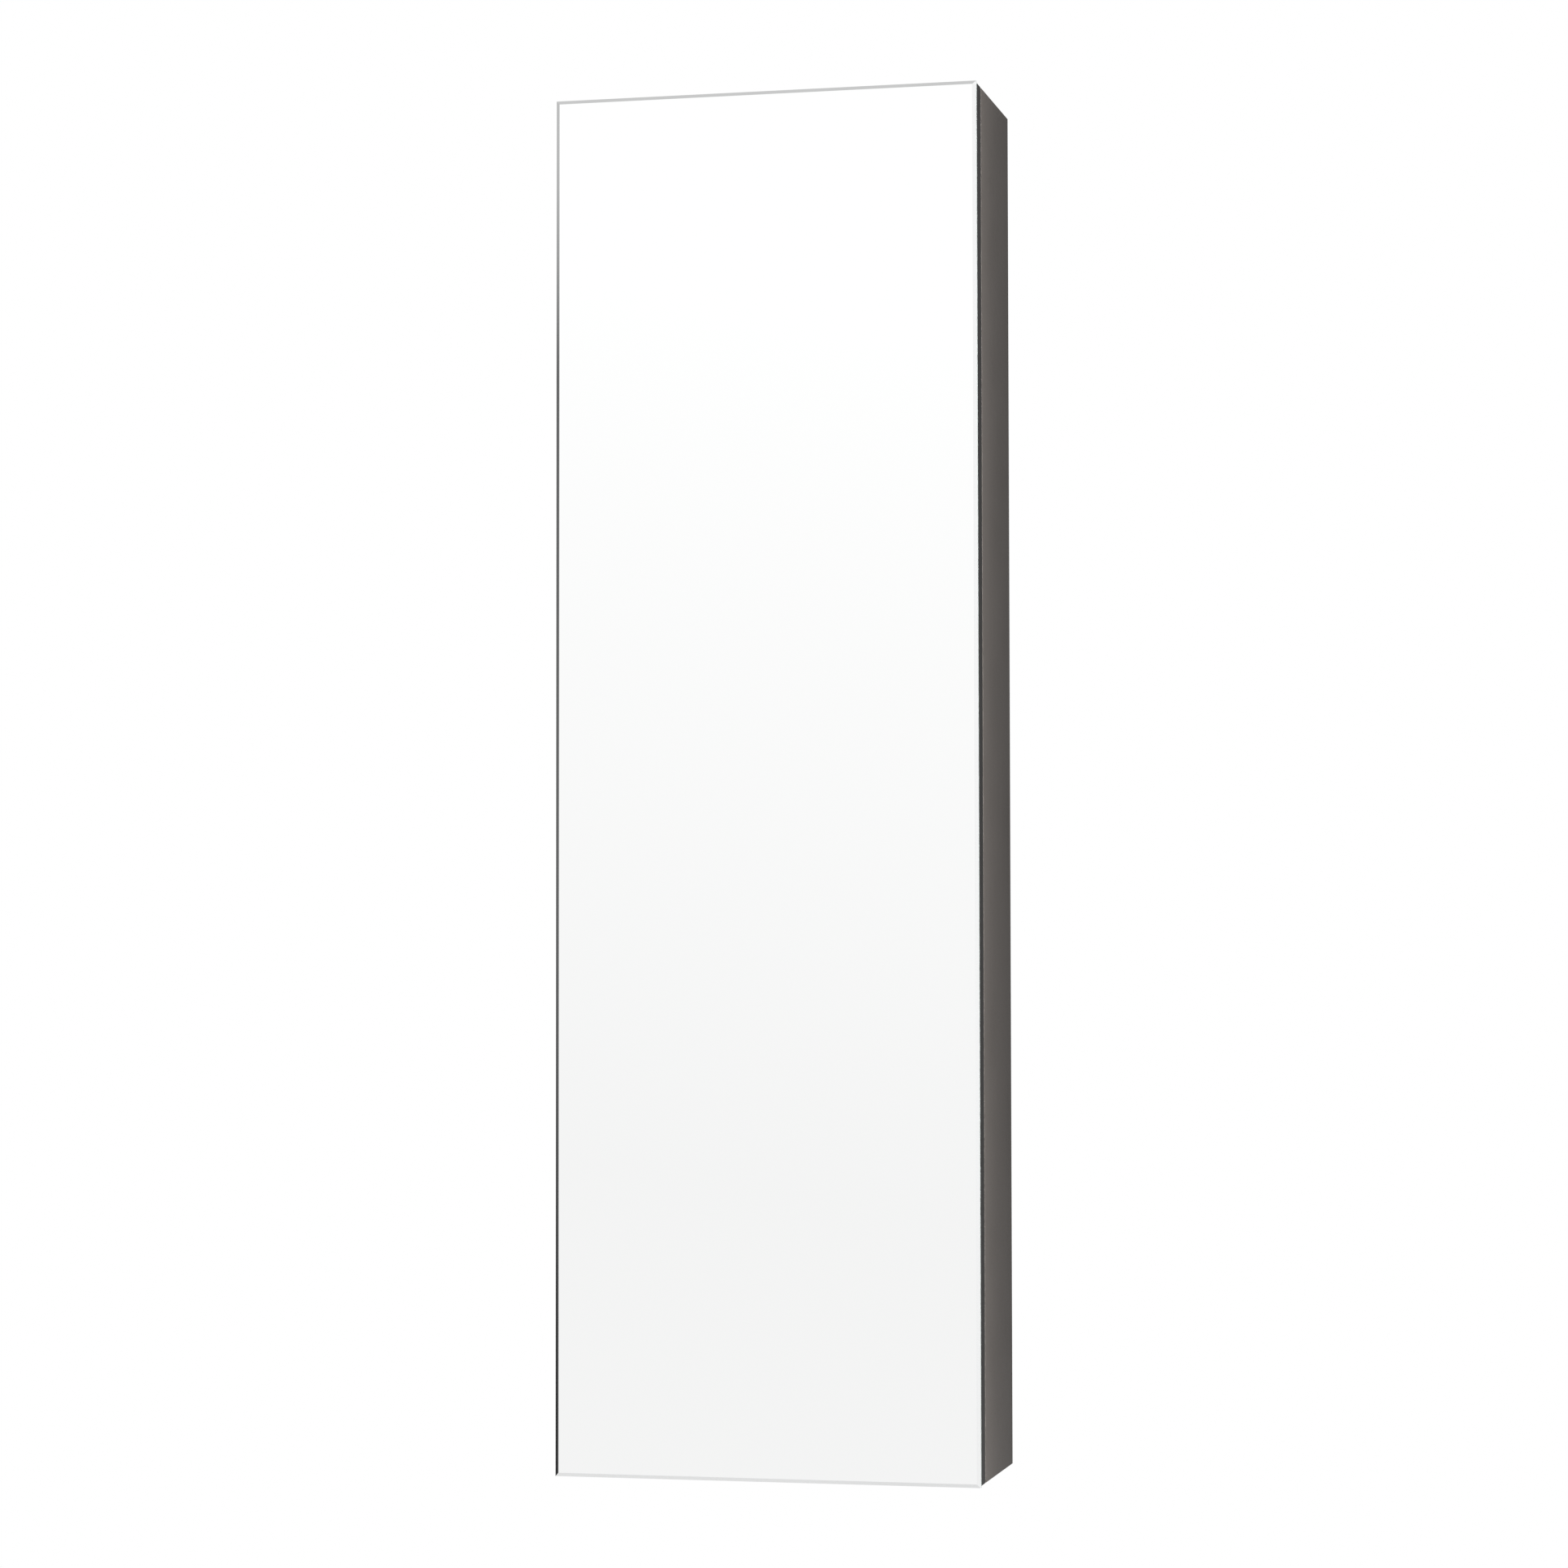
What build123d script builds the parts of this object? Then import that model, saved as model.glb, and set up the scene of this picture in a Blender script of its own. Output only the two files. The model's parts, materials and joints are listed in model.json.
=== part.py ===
"""Hanging wall cabinet: a shallow board carcass, one full-overlay mirror door on three single-pivot cup hinges.

Frame: +Z up, the door faces -Y, the wall is the plane Y = 0. The origin is on the wall, midway between
the two screw holes of the wall rail. Sizes are millimetres.
"""

from build123d import *
import os

# ---------------------------------------------------------------- driving dimensions
WIDTH = 350.0  # over the side panels
HEIGHT = 1120.0
DEPTH = 150.0  # wall to the front of the mirror
TOP_ABOVE_RAIL = 60.0  # cabinet top above the wall screws

BOARD = 16.0  # faced particle board
BAND = 1.0  # edge band on the front edges
BACK = 3.0  # back panel
BACK_RECESS = 16.0  # free space between wall and back panel
GROOVE_DEPTH = 6.0
FIT = 0.1  # clearance of a piece in its groove or bore

GLASS = 4.0  # mirror glass
OVERHANG = 1.5  # mirror glass beyond the door board, above and below
BEVEL_WIDTH = 3.0  # polished bevel round the mirror's front, across its face
BEVEL_DEPTH = 2.0
TAPE = 1.0  # mirror mounting tape
DOOR_GAP = 3.0  # door board to carcass front
REVEAL = 0.0  # carcass showing round the door board

SHELF_SETBACK = 12.0  # shelves stop short of the carcass front
GLASS_SHELF = 5.0
SHELF_SIDE_GAP = 1.0

MIDDLE_SHELF_HEIGHT = HEIGHT / 2  # centre of the fixed shelf, above the cabinet's bottom like those below
GLASS_SHELF_HEIGHTS = {"lower": 0.254 * HEIGHT, "centre": 0.667 * HEIGHT, "upper": 0.826 * HEIGHT}
HINGE_HEIGHTS = {"lower": 100.0, "middle": MIDDLE_SHELF_HEIGHT + 80.0, "upper": HEIGHT - 130.0}
LATCH_HEIGHT = MIDDLE_SHELF_HEIGHT - 32.0

PITCH = 32.0  # system hole spacing
PIN_HOLE_R = 2.5
PIN_HOLE_DEPTH = 10.0
FRONT_ROW = 37.0  # first row of holes behind the carcass front
REAR_ROW = 22.0  # last row of holes in front of the back panel

# ---------------------------------------------------------------- planes worked out from them
TOP = TOP_ABOVE_RAIL
BOTTOM = TOP - HEIGHT
OUTER_X = WIDTH / 2
INNER_X = OUTER_X - BOARD
CEILING = TOP - BOARD
FLOOR = BOTTOM + BOARD
GLASS_FRONT = -DEPTH
TAPE_FRONT = GLASS_FRONT + GLASS
DOOR_FRONT = TAPE_FRONT + TAPE
DOOR_BACK = DOOR_FRONT + BOARD
CARCASS_FRONT = DOOR_BACK + DOOR_GAP
BOARD_FRONT = CARCASS_FRONT + BAND
BACK_REAR = -BACK_RECESS
BACK_FRONT = BACK_REAR - BACK
DOOR_X = OUTER_X - REVEAL
DOOR_TOP = TOP - REVEAL
DOOR_BOTTOM = BOTTOM + REVEAL
GLASS_TOP = DOOR_TOP + OVERHANG
GLASS_BOTTOM = DOOR_BOTTOM - OVERHANG
SHELF_FRONT = CARCASS_FRONT + SHELF_SETBACK
ROWS_Y = (CARCASS_FRONT + FRONT_ROW, BACK_FRONT - REAR_ROW)


def slab(x, y, z, mode=Mode.ADD):
    """A box between two values on each axis, in the part being built."""
    size = [abs(pair[1] - pair[0]) for pair in (x, y, z)]
    with Locations(tuple(sum(pair) / 2 for pair in (x, y, z))):
        Box(*size, mode=mode)


def keep(builder, name):
    builder.part.label = name
    export_step(builder.part, f"parts/{name}.step")


def along_x(x, y, z, side):
    """A plane at a point whose normal points outwards through the side panel on that side."""
    return Plane(origin=(x, y, z), x_dir=(0, 1, 0), z_dir=(side, 0, 0))


def drill(plane, radius, depth, mode=Mode.SUBTRACT):
    """A round bore, or with Mode.ADD a round pin, from the plane along its normal."""
    with BuildSketch(plane) as bore:
        Circle(radius)
    extrude(bore.sketch, amount=depth, mode=mode)


def cone(plane, near_r, far_r, depth, mode=Mode.SUBTRACT):
    """A round taper from the plane along its normal."""
    with BuildSketch(plane) as near:
        Circle(near_r)
    with BuildSketch(plane.offset(depth)) as far:
        Circle(far_r)
    loft([near.sketch, far.sketch], mode=mode)


def cross(plane, across, width, depth):
    """A cross recess for a driver."""
    with BuildSketch(plane) as recess:
        Rectangle(across, width)
        Rectangle(width, across)
    extrude(recess.sketch, amount=depth, mode=Mode.SUBTRACT)


# ---------------------------------------------------------------- panel joints: cam, bolt and dowel
CAM_R = 7.5
CAM_HEIGHT = 12.0
CAM_CAP = 1.0
CAM_BACKSET = 24.0  # cam centre from the side panel's inner face
CAM_ROWS_Y = (CARCASS_FRONT + 30.0, BACK_FRONT - 25.0)
DOWEL_Y = sum(CAM_ROWS_Y) / 2
BOLT_R = 3.0
BOLT_IN_SIDE = 11.0
BOLT_HEAD_R = 3.4
BOLT_HEAD = 3.0
DOWEL_R = 4.0
DOWEL_IN_SIDE = 10.0
DOWEL_IN_PANEL = 20.0

# Each joined panel: its mid height, and whether its cams are let in from above (+1) or below (-1).
JOINED_PANELS = {
    "top": (TOP - BOARD / 2, 1),
    "shelf": (BOTTOM + MIDDLE_SHELF_HEIGHT, -1),
    "bottom": (BOTTOM + BOARD / 2, -1),
}
SIDES = (-1, 1)


def bolt_plane(side, y, z):
    """Where a cam bolt or dowel crosses the side panel's inner face, looking outwards."""
    return along_x(side * INNER_X, y, z, side)


def cut_panel_joints(z, facing):
    """Bores for the cams, bolts and dowels in a panel at mid height z whose cams face up or down."""
    face = z + facing * BOARD / 2
    for side in SIDES:
        for y in CAM_ROWS_Y:
            cam_x = side * (INNER_X - CAM_BACKSET)
            mouth = Plane(origin=(cam_x, y, face), z_dir=(0, 0, -facing))
            drill(mouth, CAM_R + FIT, CAM_HEIGHT + CAM_CAP)
            drill(bolt_plane(side, y, z), BOLT_R + FIT, -CAM_BACKSET)
        drill(bolt_plane(side, DOWEL_Y, z), DOWEL_R, -DOWEL_IN_PANEL - FIT)


def cut_side_joints(side):
    """The matching bores in a side panel."""
    for z, _ in JOINED_PANELS.values():
        for y in CAM_ROWS_Y:
            drill(bolt_plane(side, y, z), BOLT_R, BOLT_IN_SIDE + FIT)
        drill(bolt_plane(side, DOWEL_Y, z), DOWEL_R, DOWEL_IN_SIDE + FIT)


def build_joint_hardware():
    head_reach = CAM_BACKSET + BOLT_HEAD / 2
    with BuildPart() as bolts:
        for z, _ in JOINED_PANELS.values():
            for side in SIDES:
                for y in CAM_ROWS_Y:
                    start = bolt_plane(side, y, z)
                    drill(start, BOLT_R - FIT / 2, BOLT_IN_SIDE, Mode.ADD)
                    drill(start, BOLT_R - FIT / 2, -head_reach, Mode.ADD)
                    drill(start.offset(-head_reach), BOLT_HEAD_R, BOLT_HEAD, Mode.ADD)
    keep(bolts, "cam_bolts")

    slot = BOLT_HEAD_R + FIT
    with BuildPart() as cams:
        for z, facing in JOINED_PANELS.values():
            face = z + facing * (BOARD / 2 - CAM_CAP)
            for side in SIDES:
                for y in CAM_ROWS_Y:
                    cam_x = side * (INNER_X - CAM_BACKSET)
                    mouth = Plane(origin=(cam_x, y, face), z_dir=(0, 0, -facing))
                    drill(mouth, CAM_R, CAM_HEIGHT - FIT, Mode.ADD)
                    far = cam_x + side * (CAM_R + 1)
                    near = cam_x - side * (BOLT_HEAD / 2 + 2 * FIT)
                    slab((near, far), (y - slot, y + slot), (z - slot, z + slot), Mode.SUBTRACT)
                    drill(mouth, 2.6, 1.4)
    keep(cams, "cam_locks")

    with BuildPart() as caps:
        for z, facing in JOINED_PANELS.values():
            face = z + facing * BOARD / 2
            for side in SIDES:
                for y in CAM_ROWS_Y:
                    cam_x = side * (INNER_X - CAM_BACKSET)
                    mouth = Plane(origin=(cam_x, y, face), z_dir=(0, 0, -facing))
                    drill(mouth, CAM_R, CAM_CAP, Mode.ADD)
    keep(caps, "cam_caps")

    with BuildPart() as dowels:
        for z, _ in JOINED_PANELS.values():
            for side in SIDES:
                start = bolt_plane(side, DOWEL_Y, z)
                drill(start, DOWEL_R - FIT / 2, DOWEL_IN_SIDE, Mode.ADD)
                drill(start, DOWEL_R - FIT / 2, -DOWEL_IN_PANEL, Mode.ADD)
    keep(dowels, "dowels")


# ---------------------------------------------------------------- hinge sizes
# Hinge profiles are drawn in (u, v): u from the side panel's inner face into the cabinet, v from the
# carcass front towards the viewer.
CUP_R = 17.5
CUP_DEPTH = 13.0
CUP_EDGE = 3.0  # bore edge to door edge
CUP_WALL = 0.8
CUP_FLANGE = 1.2
CUP_SCREW_SPACING = 48.0
CUP_SCREW_OFFSET = 6.0
PIVOT_FROM_EDGE = 7.0
PIVOT_FROM_FACE = 9.7
PIVOT_R = 1.2
RUNNING = 0.06  # radial clearance of a piece that turns or slides in another
EYE_R = 2.3
NECK_HALF = 4.0  # half width of the arm where it enters the cup
ARM_HALF = 8.0
PLATE_SETBACK = 37.0
PLATE_THICK = 2.5
PLATE_RIDGE = 9.0
PLATE_SCREW_SPACING = PITCH
ARM_PLATE = 2.0

DOOR_EDGE_U = REVEAL - BOARD
PIVOT_U = DOOR_EDGE_U + PIVOT_FROM_EDGE
PIVOT_V = DOOR_GAP + PIVOT_FROM_FACE
CUP_U = DOOR_EDGE_U + CUP_EDGE + CUP_R
PIN_LENGTH = 2 * (CUP_R**2 - (CUP_U - PIVOT_U + PIVOT_R) ** 2) ** 0.5 - 1.0
PIVOT_X = PIVOT_U - INNER_X
PIVOT_Y = CARCASS_FRONT - PIVOT_V


def hinge_plane(z):
    """Local x is u and local y is v, at the height of a hinge."""
    return Plane(origin=(-INNER_X, CARCASS_FRONT, z), x_dir=(1, 0, 0), z_dir=(0, 0, -1))


def cup_plane(z, depth=0.0):
    """On the door's inner face at the cup's centre, looking into the door."""
    return Plane(origin=(CUP_U - INNER_X, DOOR_BACK - depth, z), x_dir=(1, 0, 0), z_dir=(0, -1, 0))


def cup_screw_planes(z, depth=0.0):
    for end in (-1, 1):
        centre = (CUP_U - INNER_X + CUP_SCREW_OFFSET, DOOR_BACK - depth, z + end * CUP_SCREW_SPACING / 2)
        yield Plane(origin=centre, x_dir=(1, 0, 0), z_dir=(0, -1, 0))


def plate_screw_planes(z, height=0.0):
    for end in (-1, 1):
        y = CARCASS_FRONT + PLATE_SETBACK
        yield along_x(-INNER_X + height, y, z + end * PLATE_SCREW_SPACING / 2, -1)


# ---------------------------------------------------------------- push latch sizes
LATCH_X = INNER_X - 9.0
LATCH_HALF = 8.0
LATCH_LENGTH = 66.0
LATCH_INSET = 2.0
PLUNGER_R = 3.5
PLUNGER_LENGTH = 50.0
MAGNET = 3.0
TOUCH_GAP = 0.3  # running room between pieces of two bodies that meet
STRIKE = 1.0
STRIKE_R = 9.0
LATCH_Z = BOTTOM + LATCH_HEIGHT
LATCH_FRONT = CARCASS_FRONT + LATCH_INSET
LATCH_EAR = 6.0
LATCH_BORE = LATCH_LENGTH - 3.0
PLUNGER_TIP = DOOR_BACK + STRIKE + TOUCH_GAP

# ---------------------------------------------------------------- hanger and rail sizes
RAIL_LENGTH = 2 * INNER_X - 18.0
RAIL_STEEL = 2.0
RAIL_LOW = -16.0
RAIL_STEP = 14.0  # top of the forward step
RAIL_LIP_TOP = 24.0
RAIL_STAND_OFF = 9.0
RAIL_HOLE_SPACING = 7 * PITCH
RAIL_HOLE_R = 3.5
HANGER_WIDTH = 18.0
HANGER_DEPTH = 44.0
HANGER_LOW = -20.0
HANGER_HIGH = 38.0
HOOK_STEEL = 2.6
HOOK_X = INNER_X - HANGER_WIDTH / 2
HOOK_CLAW = 3.6
HOOK_HIGH = 32.0
HANGER_SCREW_R = 2.0
HANGER_COVER = 1.2
HANGER_FRONT = BACK_FRONT - HANGER_DEPTH
HANGER_SCREWS_Y = (HANGER_FRONT + 12.0, BACK_FRONT - 12.0)
HANGER_SCREW_Z = HANGER_LOW + 9.0


# ---------------------------------------------------------------- carcass
def cut_back_groove():
    """The groove that runs round all four panels for the back panel."""
    reach = INNER_X + GROOVE_DEPTH
    y = (BACK_FRONT - FIT, BACK_REAR + FIT)
    slab((-reach, reach), y, (FLOOR - GROOVE_DEPTH, CEILING + GROOVE_DEPTH), Mode.SUBTRACT)


def shelf_pin_heights():
    """Five holes for each adjustable shelf, the support in the middle one."""
    for underside in GLASS_SHELF_HEIGHTS.values():
        for step in range(-2, 3):
            yield BOTTOM + underside - SUPPORT_DROP + step * PITCH


def build_side(side, name):
    with BuildPart() as panel:
        slab((side * INNER_X, side * OUTER_X), (BOARD_FRONT, 0), (BOTTOM, TOP))
        cut_back_groove()
        cut_side_joints(side)
        for z in shelf_pin_heights():
            for y in ROWS_Y:
                drill(along_x(side * INNER_X, y, z, side), PIN_HOLE_R, PIN_HOLE_DEPTH)
        if side < 0:
            for height in HINGE_HEIGHTS.values():
                for plane in plate_screw_planes(BOTTOM + height):
                    drill(plane, 2.5, 12.0)
        else:
            for z in latch_screw_heights():
                drill(along_x(INNER_X, LATCH_SCREW_Y, z, 1), 1.3, 10.0)
        for y in HANGER_SCREWS_Y:
            drill(along_x(side * INNER_X, y, HANGER_SCREW_Z, side), HANGER_SCREW_R, 12.0)
    keep(panel, name)


def build_carcass():
    build_side(-1, "side_panel_left")
    build_side(1, "side_panel_right")

    for name, low, high in (("top_panel", CEILING, TOP), ("bottom_panel", BOTTOM, FLOOR)):
        with BuildPart() as panel:
            slab((-INNER_X, INNER_X), (BOARD_FRONT, 0), (low, high))
            cut_back_groove()
            cut_panel_joints(*JOINED_PANELS[name.split("_")[0]])
        keep(panel, name)

    shelf_z = BOTTOM + MIDDLE_SHELF_HEIGHT
    shelf_low, shelf_high = shelf_z - BOARD / 2, shelf_z + BOARD / 2
    with BuildPart() as shelf:
        slab((-INNER_X, INNER_X), (SHELF_FRONT + BAND, BACK_FRONT), (shelf_low, shelf_high))
        cut_panel_joints(*JOINED_PANELS["shelf"])
    keep(shelf, "middle_shelf")

    edge = GROOVE_DEPTH - FIT * 5
    with BuildPart() as back:
        slab(
            (-INNER_X - edge, INNER_X + edge),
            (BACK_FRONT, BACK_REAR),
            (FLOOR - edge, CEILING + edge),
        )
        for side in SIDES:
            half = HOOK_STEEL / 2 + 1.5
            slab(
                (side * HOOK_X - half, side * HOOK_X + half),
                (BACK_FRONT - 1, BACK_REAR + 1),
                (RAIL_STEP, HOOK_HIGH + 3.0),
                Mode.SUBTRACT,
            )
    keep(back, "back_panel")

    front = (CARCASS_FRONT, BOARD_FRONT)
    bands = {
        "side_band_left": ((-OUTER_X, -INNER_X), front, (BOTTOM, TOP)),
        "side_band_right": ((INNER_X, OUTER_X), front, (BOTTOM, TOP)),
        "top_band": ((-INNER_X, INNER_X), front, (CEILING, TOP)),
        "bottom_band": ((-INNER_X, INNER_X), front, (BOTTOM, FLOOR)),
        "shelf_band": (
            (-INNER_X, INNER_X),
            (SHELF_FRONT, SHELF_FRONT + BAND),
            (shelf_low, shelf_high),
        ),
    }
    for name, (x, y, z) in bands.items():
        with BuildPart() as band:
            slab(x, y, z)
            outer = band.edges().filter_by(Axis.Z if z[1] - z[0] > x[1] - x[0] else Axis.X)
            fillet(outer.group_by(Axis.Y)[0], BAND / 2)
        keep(band, name)


# ---------------------------------------------------------------- adjustable shelves
SUPPORT_PLATE = 1.5
SUPPORT_REACH = 9.0
SUPPORT_HALF = 5.0
SUPPORT_FLANGE = 1.0
PAD = 0.8
PAD_R = 3.0
SUPPORT_DROP = PAD + SUPPORT_PLATE + 3.5  # pin axis below the glass


def support_places(underside):
    for side in SIDES:
        for y in ROWS_Y:
            yield side, y, BOTTOM + underside


def build_shelves():
    glass_x = INNER_X - SHELF_SIDE_GAP
    for level, underside in GLASS_SHELF_HEIGHTS.items():
        low = BOTTOM + underside
        with BuildPart() as pane:
            slab((-glass_x, glass_x), (SHELF_FRONT, BACK_FRONT - 2.0), (low, low + GLASS_SHELF))
            fillet(pane.edges().filter_by(Axis.Z), 3.0)
            chamfer(pane.edges().filter_by(Axis.Z, reverse=True), 0.6)
        keep(pane, f"glass_shelf_{level}")

        with BuildPart() as supports:
            for side, y, z in support_places(underside):
                seat = z - PAD
                wall, edge = side * INNER_X, side * (INNER_X - SUPPORT_REACH)
                drill(
                    along_x(wall, y, z - SUPPORT_DROP, side), PIN_HOLE_R - FIT / 2, 8.0, Mode.ADD
                )
                slab((wall, edge), (y - SUPPORT_HALF, y + SUPPORT_HALF), (seat - SUPPORT_PLATE, seat))
                flange = (wall, wall - side * SUPPORT_FLANGE)
                foot = z - SUPPORT_DROP - 4.5
                slab(flange, (y - SUPPORT_HALF, y + SUPPORT_HALF), (foot, seat))
        keep(supports, f"shelf_supports_{level}")

    with BuildPart() as pads:
        for underside in GLASS_SHELF_HEIGHTS.values():
            for side, y, z in support_places(underside):
                centre_x = side * (INNER_X - SUPPORT_REACH / 2 - SUPPORT_FLANGE / 2)
                drill(Plane(origin=(centre_x, y, z - PAD)), PAD_R, PAD, Mode.ADD)
    keep(pads, "shelf_pads")


# ---------------------------------------------------------------- wall rail and hangers
def side_view(x):
    """Local x is Y and local y is Z, for a profile that is extruded along X."""
    return Plane(origin=(x, 0, 0), x_dir=(0, 1, 0), z_dir=(1, 0, 0))


def build_rail():
    lip = -RAIL_STAND_OFF
    with BuildPart() as rail:
        with BuildSketch(side_view(-RAIL_LENGTH / 2)):
            with BuildLine():
                Polyline(
                    (0, RAIL_LOW),
                    (0, RAIL_STEP),
                    (lip + RAIL_STEEL, RAIL_STEP),
                    (lip + RAIL_STEEL, RAIL_LIP_TOP),
                    (lip, RAIL_LIP_TOP),
                    (lip, RAIL_STEP - RAIL_STEEL),
                    (-RAIL_STEEL, RAIL_STEP - RAIL_STEEL),
                    (-RAIL_STEEL, RAIL_LOW),
                    close=True,
                )
            make_face()
        extrude(amount=RAIL_LENGTH)
        bend = rail.edges().filter_by(Axis.X).group_by(Axis.Z)[-2]
        fillet(bend.sort_by(Axis.Y)[:1], RAIL_STEEL / 2)
        for end in SIDES:
            hole = Plane(origin=(end * RAIL_HOLE_SPACING / 2, 0, 0), z_dir=(0, -1, 0))
            drill(hole, RAIL_HOLE_R, RAIL_STEEL)
    keep(rail, "wall_rail")


def build_hanger(side, name):
    """Casing on the side panel, steel hook through the back panel onto the rail, and a clip-on cover."""
    wall, inner = side * INNER_X, side * (INNER_X - HANGER_WIDTH)
    slot = HOOK_STEEL / 2 + 2 * FIT
    hook_low = HANGER_LOW + 26.0
    hook_front = HANGER_FRONT + 12.0
    with BuildPart() as casing:
        slab((wall, inner), (HANGER_FRONT, BACK_FRONT), (HANGER_LOW, HANGER_HIGH))
        fillet(casing.edges().filter_by(Axis.X).group_by(Axis.Y)[0], 5.0)
        slab(
            (side * HOOK_X - slot, side * HOOK_X + slot),
            (hook_front - 3.0, BACK_FRONT + 1),
            (hook_low - 3.0, HOOK_HIGH + 3.0),
            Mode.SUBTRACT,
        )
        for y in HANGER_SCREWS_Y:
            hole = along_x(inner, y, HANGER_SCREW_Z, side)
            drill(hole, HANGER_SCREW_R + FIT, HANGER_WIDTH)
            drill(hole, 4.0 + FIT, 2.5)
        for z in hanger_adjuster_heights():
            drill(Plane(origin=(side * HOOK_X, HANGER_FRONT, z), z_dir=(0, 1, 0)), 3.1, 9.0)
    keep(casing, f"hanger_casing_{name}")

    claw_front = -RAIL_STAND_OFF + RAIL_STEEL + 0.4
    with BuildPart() as hook:
        with BuildSketch(side_view(side * HOOK_X - HOOK_STEEL / 2)):
            with BuildLine():
                Polyline(
                    (hook_front, hook_low),
                    (BACK_FRONT - 4.0, hook_low),
                    (BACK_FRONT - 4.0, RAIL_STEP + 3.0),
                    (-RAIL_STAND_OFF - 0.4, RAIL_STEP + 3.0),
                    (-RAIL_STAND_OFF - 0.4, RAIL_LIP_TOP),
                    (claw_front, RAIL_LIP_TOP),
                    (claw_front, RAIL_STEP + 0.6),
                    (claw_front + HOOK_CLAW, RAIL_STEP + 0.6),
                    (claw_front + HOOK_CLAW, HOOK_HIGH - 4.0),
                    (claw_front - 0.4, HOOK_HIGH),
                    (hook_front, HOOK_HIGH),
                    close=True,
                )
            make_face()
        extrude(amount=HOOK_STEEL)
    keep(hook, f"hanger_hook_{name}")

    reach = HANGER_COVER + FIT
    with BuildPart() as cover:
        slab(
            (wall, inner - side * reach),
            (HANGER_FRONT - reach, BACK_FRONT),
            (HANGER_LOW - reach, HANGER_HIGH + reach),
        )
        fillet(cover.edges().filter_by(Axis.X).group_by(Axis.Y)[0], 5.0 + reach)
        slab(
            (wall, inner - side * FIT),
            (HANGER_FRONT - FIT, BACK_FRONT),
            (HANGER_LOW - FIT, HANGER_HIGH + FIT),
            Mode.SUBTRACT,
        )
    keep(cover, f"hanger_cover_{name}")


def hanger_adjuster_heights():
    middle = (HANGER_LOW + HANGER_HIGH) / 2
    return (middle - 9.0, middle + 9.0)


def countersunk(plane, radius, length, head_r, head):
    """A countersunk screw from the plane of its head along the normal, with a cross recess."""
    cone(plane, head_r, radius, head, Mode.ADD)
    drill(plane.offset(head), radius, length - head, Mode.ADD)
    cross(plane, head_r * 1.1, head_r * 0.25, head * 0.6)


def build_hanger_screws():
    with BuildPart() as fixings:
        for side in SIDES:
            for y in HANGER_SCREWS_Y:
                start = along_x(side * (INNER_X - HANGER_WIDTH), y, HANGER_SCREW_Z, side)
                drill(start, 4.0, 2.4, Mode.ADD)
                drill(start, HANGER_SCREW_R - FIT / 2, HANGER_WIDTH + 11.0, Mode.ADD)
                cross(start, 4.6, 1.0, 1.4)
    keep(fixings, "hanger_fixing_screws")

    with BuildPart() as adjusters:
        for side in SIDES:
            for z in hanger_adjuster_heights():
                start = Plane(origin=(side * HOOK_X, HANGER_FRONT + 0.5, z), z_dir=(0, 1, 0))
                drill(start, 3.0, 8.4, Mode.ADD)
                cross(start, 3.6, 0.9, 1.8)
    keep(adjusters, "hanger_adjust_screws")


# ---------------------------------------------------------------- door
DOOR_BUMPER_R = 4.5
TAPE_WIDTH = 25.0
TAPE_STRIPS = 5
TAPE_INSET = 12.0


def build_door():
    with BuildPart() as board:
        slab(
            (-DOOR_X + BAND, DOOR_X - BAND),
            (DOOR_FRONT, DOOR_BACK),
            (DOOR_BOTTOM + BAND, DOOR_TOP - BAND),
        )
        for height in HINGE_HEIGHTS.values():
            z = BOTTOM + height
            drill(cup_plane(z), CUP_R, CUP_DEPTH)
            for plane in cup_screw_planes(z):
                drill(plane, 1.5 + FIT, 13.0)
        drill(strike_plane(), 1.5 + FIT, 12.0)
    keep(board, "door_board")

    upright = (DOOR_BOTTOM + BAND, DOOR_TOP - BAND)
    strips = {
        "door_band_left": ((-DOOR_X, -DOOR_X + BAND), upright),
        "door_band_right": ((DOOR_X - BAND, DOOR_X), upright),
        "door_band_top": ((-DOOR_X, DOOR_X), (DOOR_TOP - BAND, DOOR_TOP)),
        "door_band_bottom": ((-DOOR_X, DOOR_X), (DOOR_BOTTOM, DOOR_BOTTOM + BAND)),
    }
    for name, (x, z) in strips.items():
        with BuildPart() as strip:
            slab(x, (DOOR_FRONT, DOOR_BACK), z)
        keep(strip, name)

    with BuildPart() as mirror:
        slab((-DOOR_X, DOOR_X), (GLASS_FRONT, TAPE_FRONT), (GLASS_BOTTOM, GLASS_TOP))
        face = mirror.faces().sort_by(Axis.Y)[0]
        chamfer(face.edges(), BEVEL_WIDTH, BEVEL_DEPTH, reference=face)
    keep(mirror, "mirror_glass")

    spread = DOOR_X - TAPE_INSET - TAPE_WIDTH / 2
    length = DOOR_TOP - DOOR_BOTTOM - 2 * TAPE_INSET
    with BuildPart() as tape:
        middle = ((DOOR_TOP + DOOR_BOTTOM) / 2, (TAPE_FRONT + DOOR_FRONT) / 2)
        for strip in range(TAPE_STRIPS):
            x = -spread + 2 * spread * strip / (TAPE_STRIPS - 1)
            with Locations((x, middle[1], middle[0])):
                Box(TAPE_WIDTH, TAPE, length)
    keep(tape, "mirror_tape")

    with BuildPart() as bumpers:
        x = (INNER_X + OUTER_X) / 2
        for z in (BOTTOM + 20.0, (BOTTOM + TOP) / 2, TOP - 20.0):
            face = Plane(origin=(x, DOOR_BACK, z), z_dir=(0, 1, 0))
            cone(face, DOOR_BUMPER_R, DOOR_BUMPER_R - 1.6, DOOR_GAP - TOUCH_GAP, Mode.ADD)
    keep(bumpers, "door_bumpers")


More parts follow.
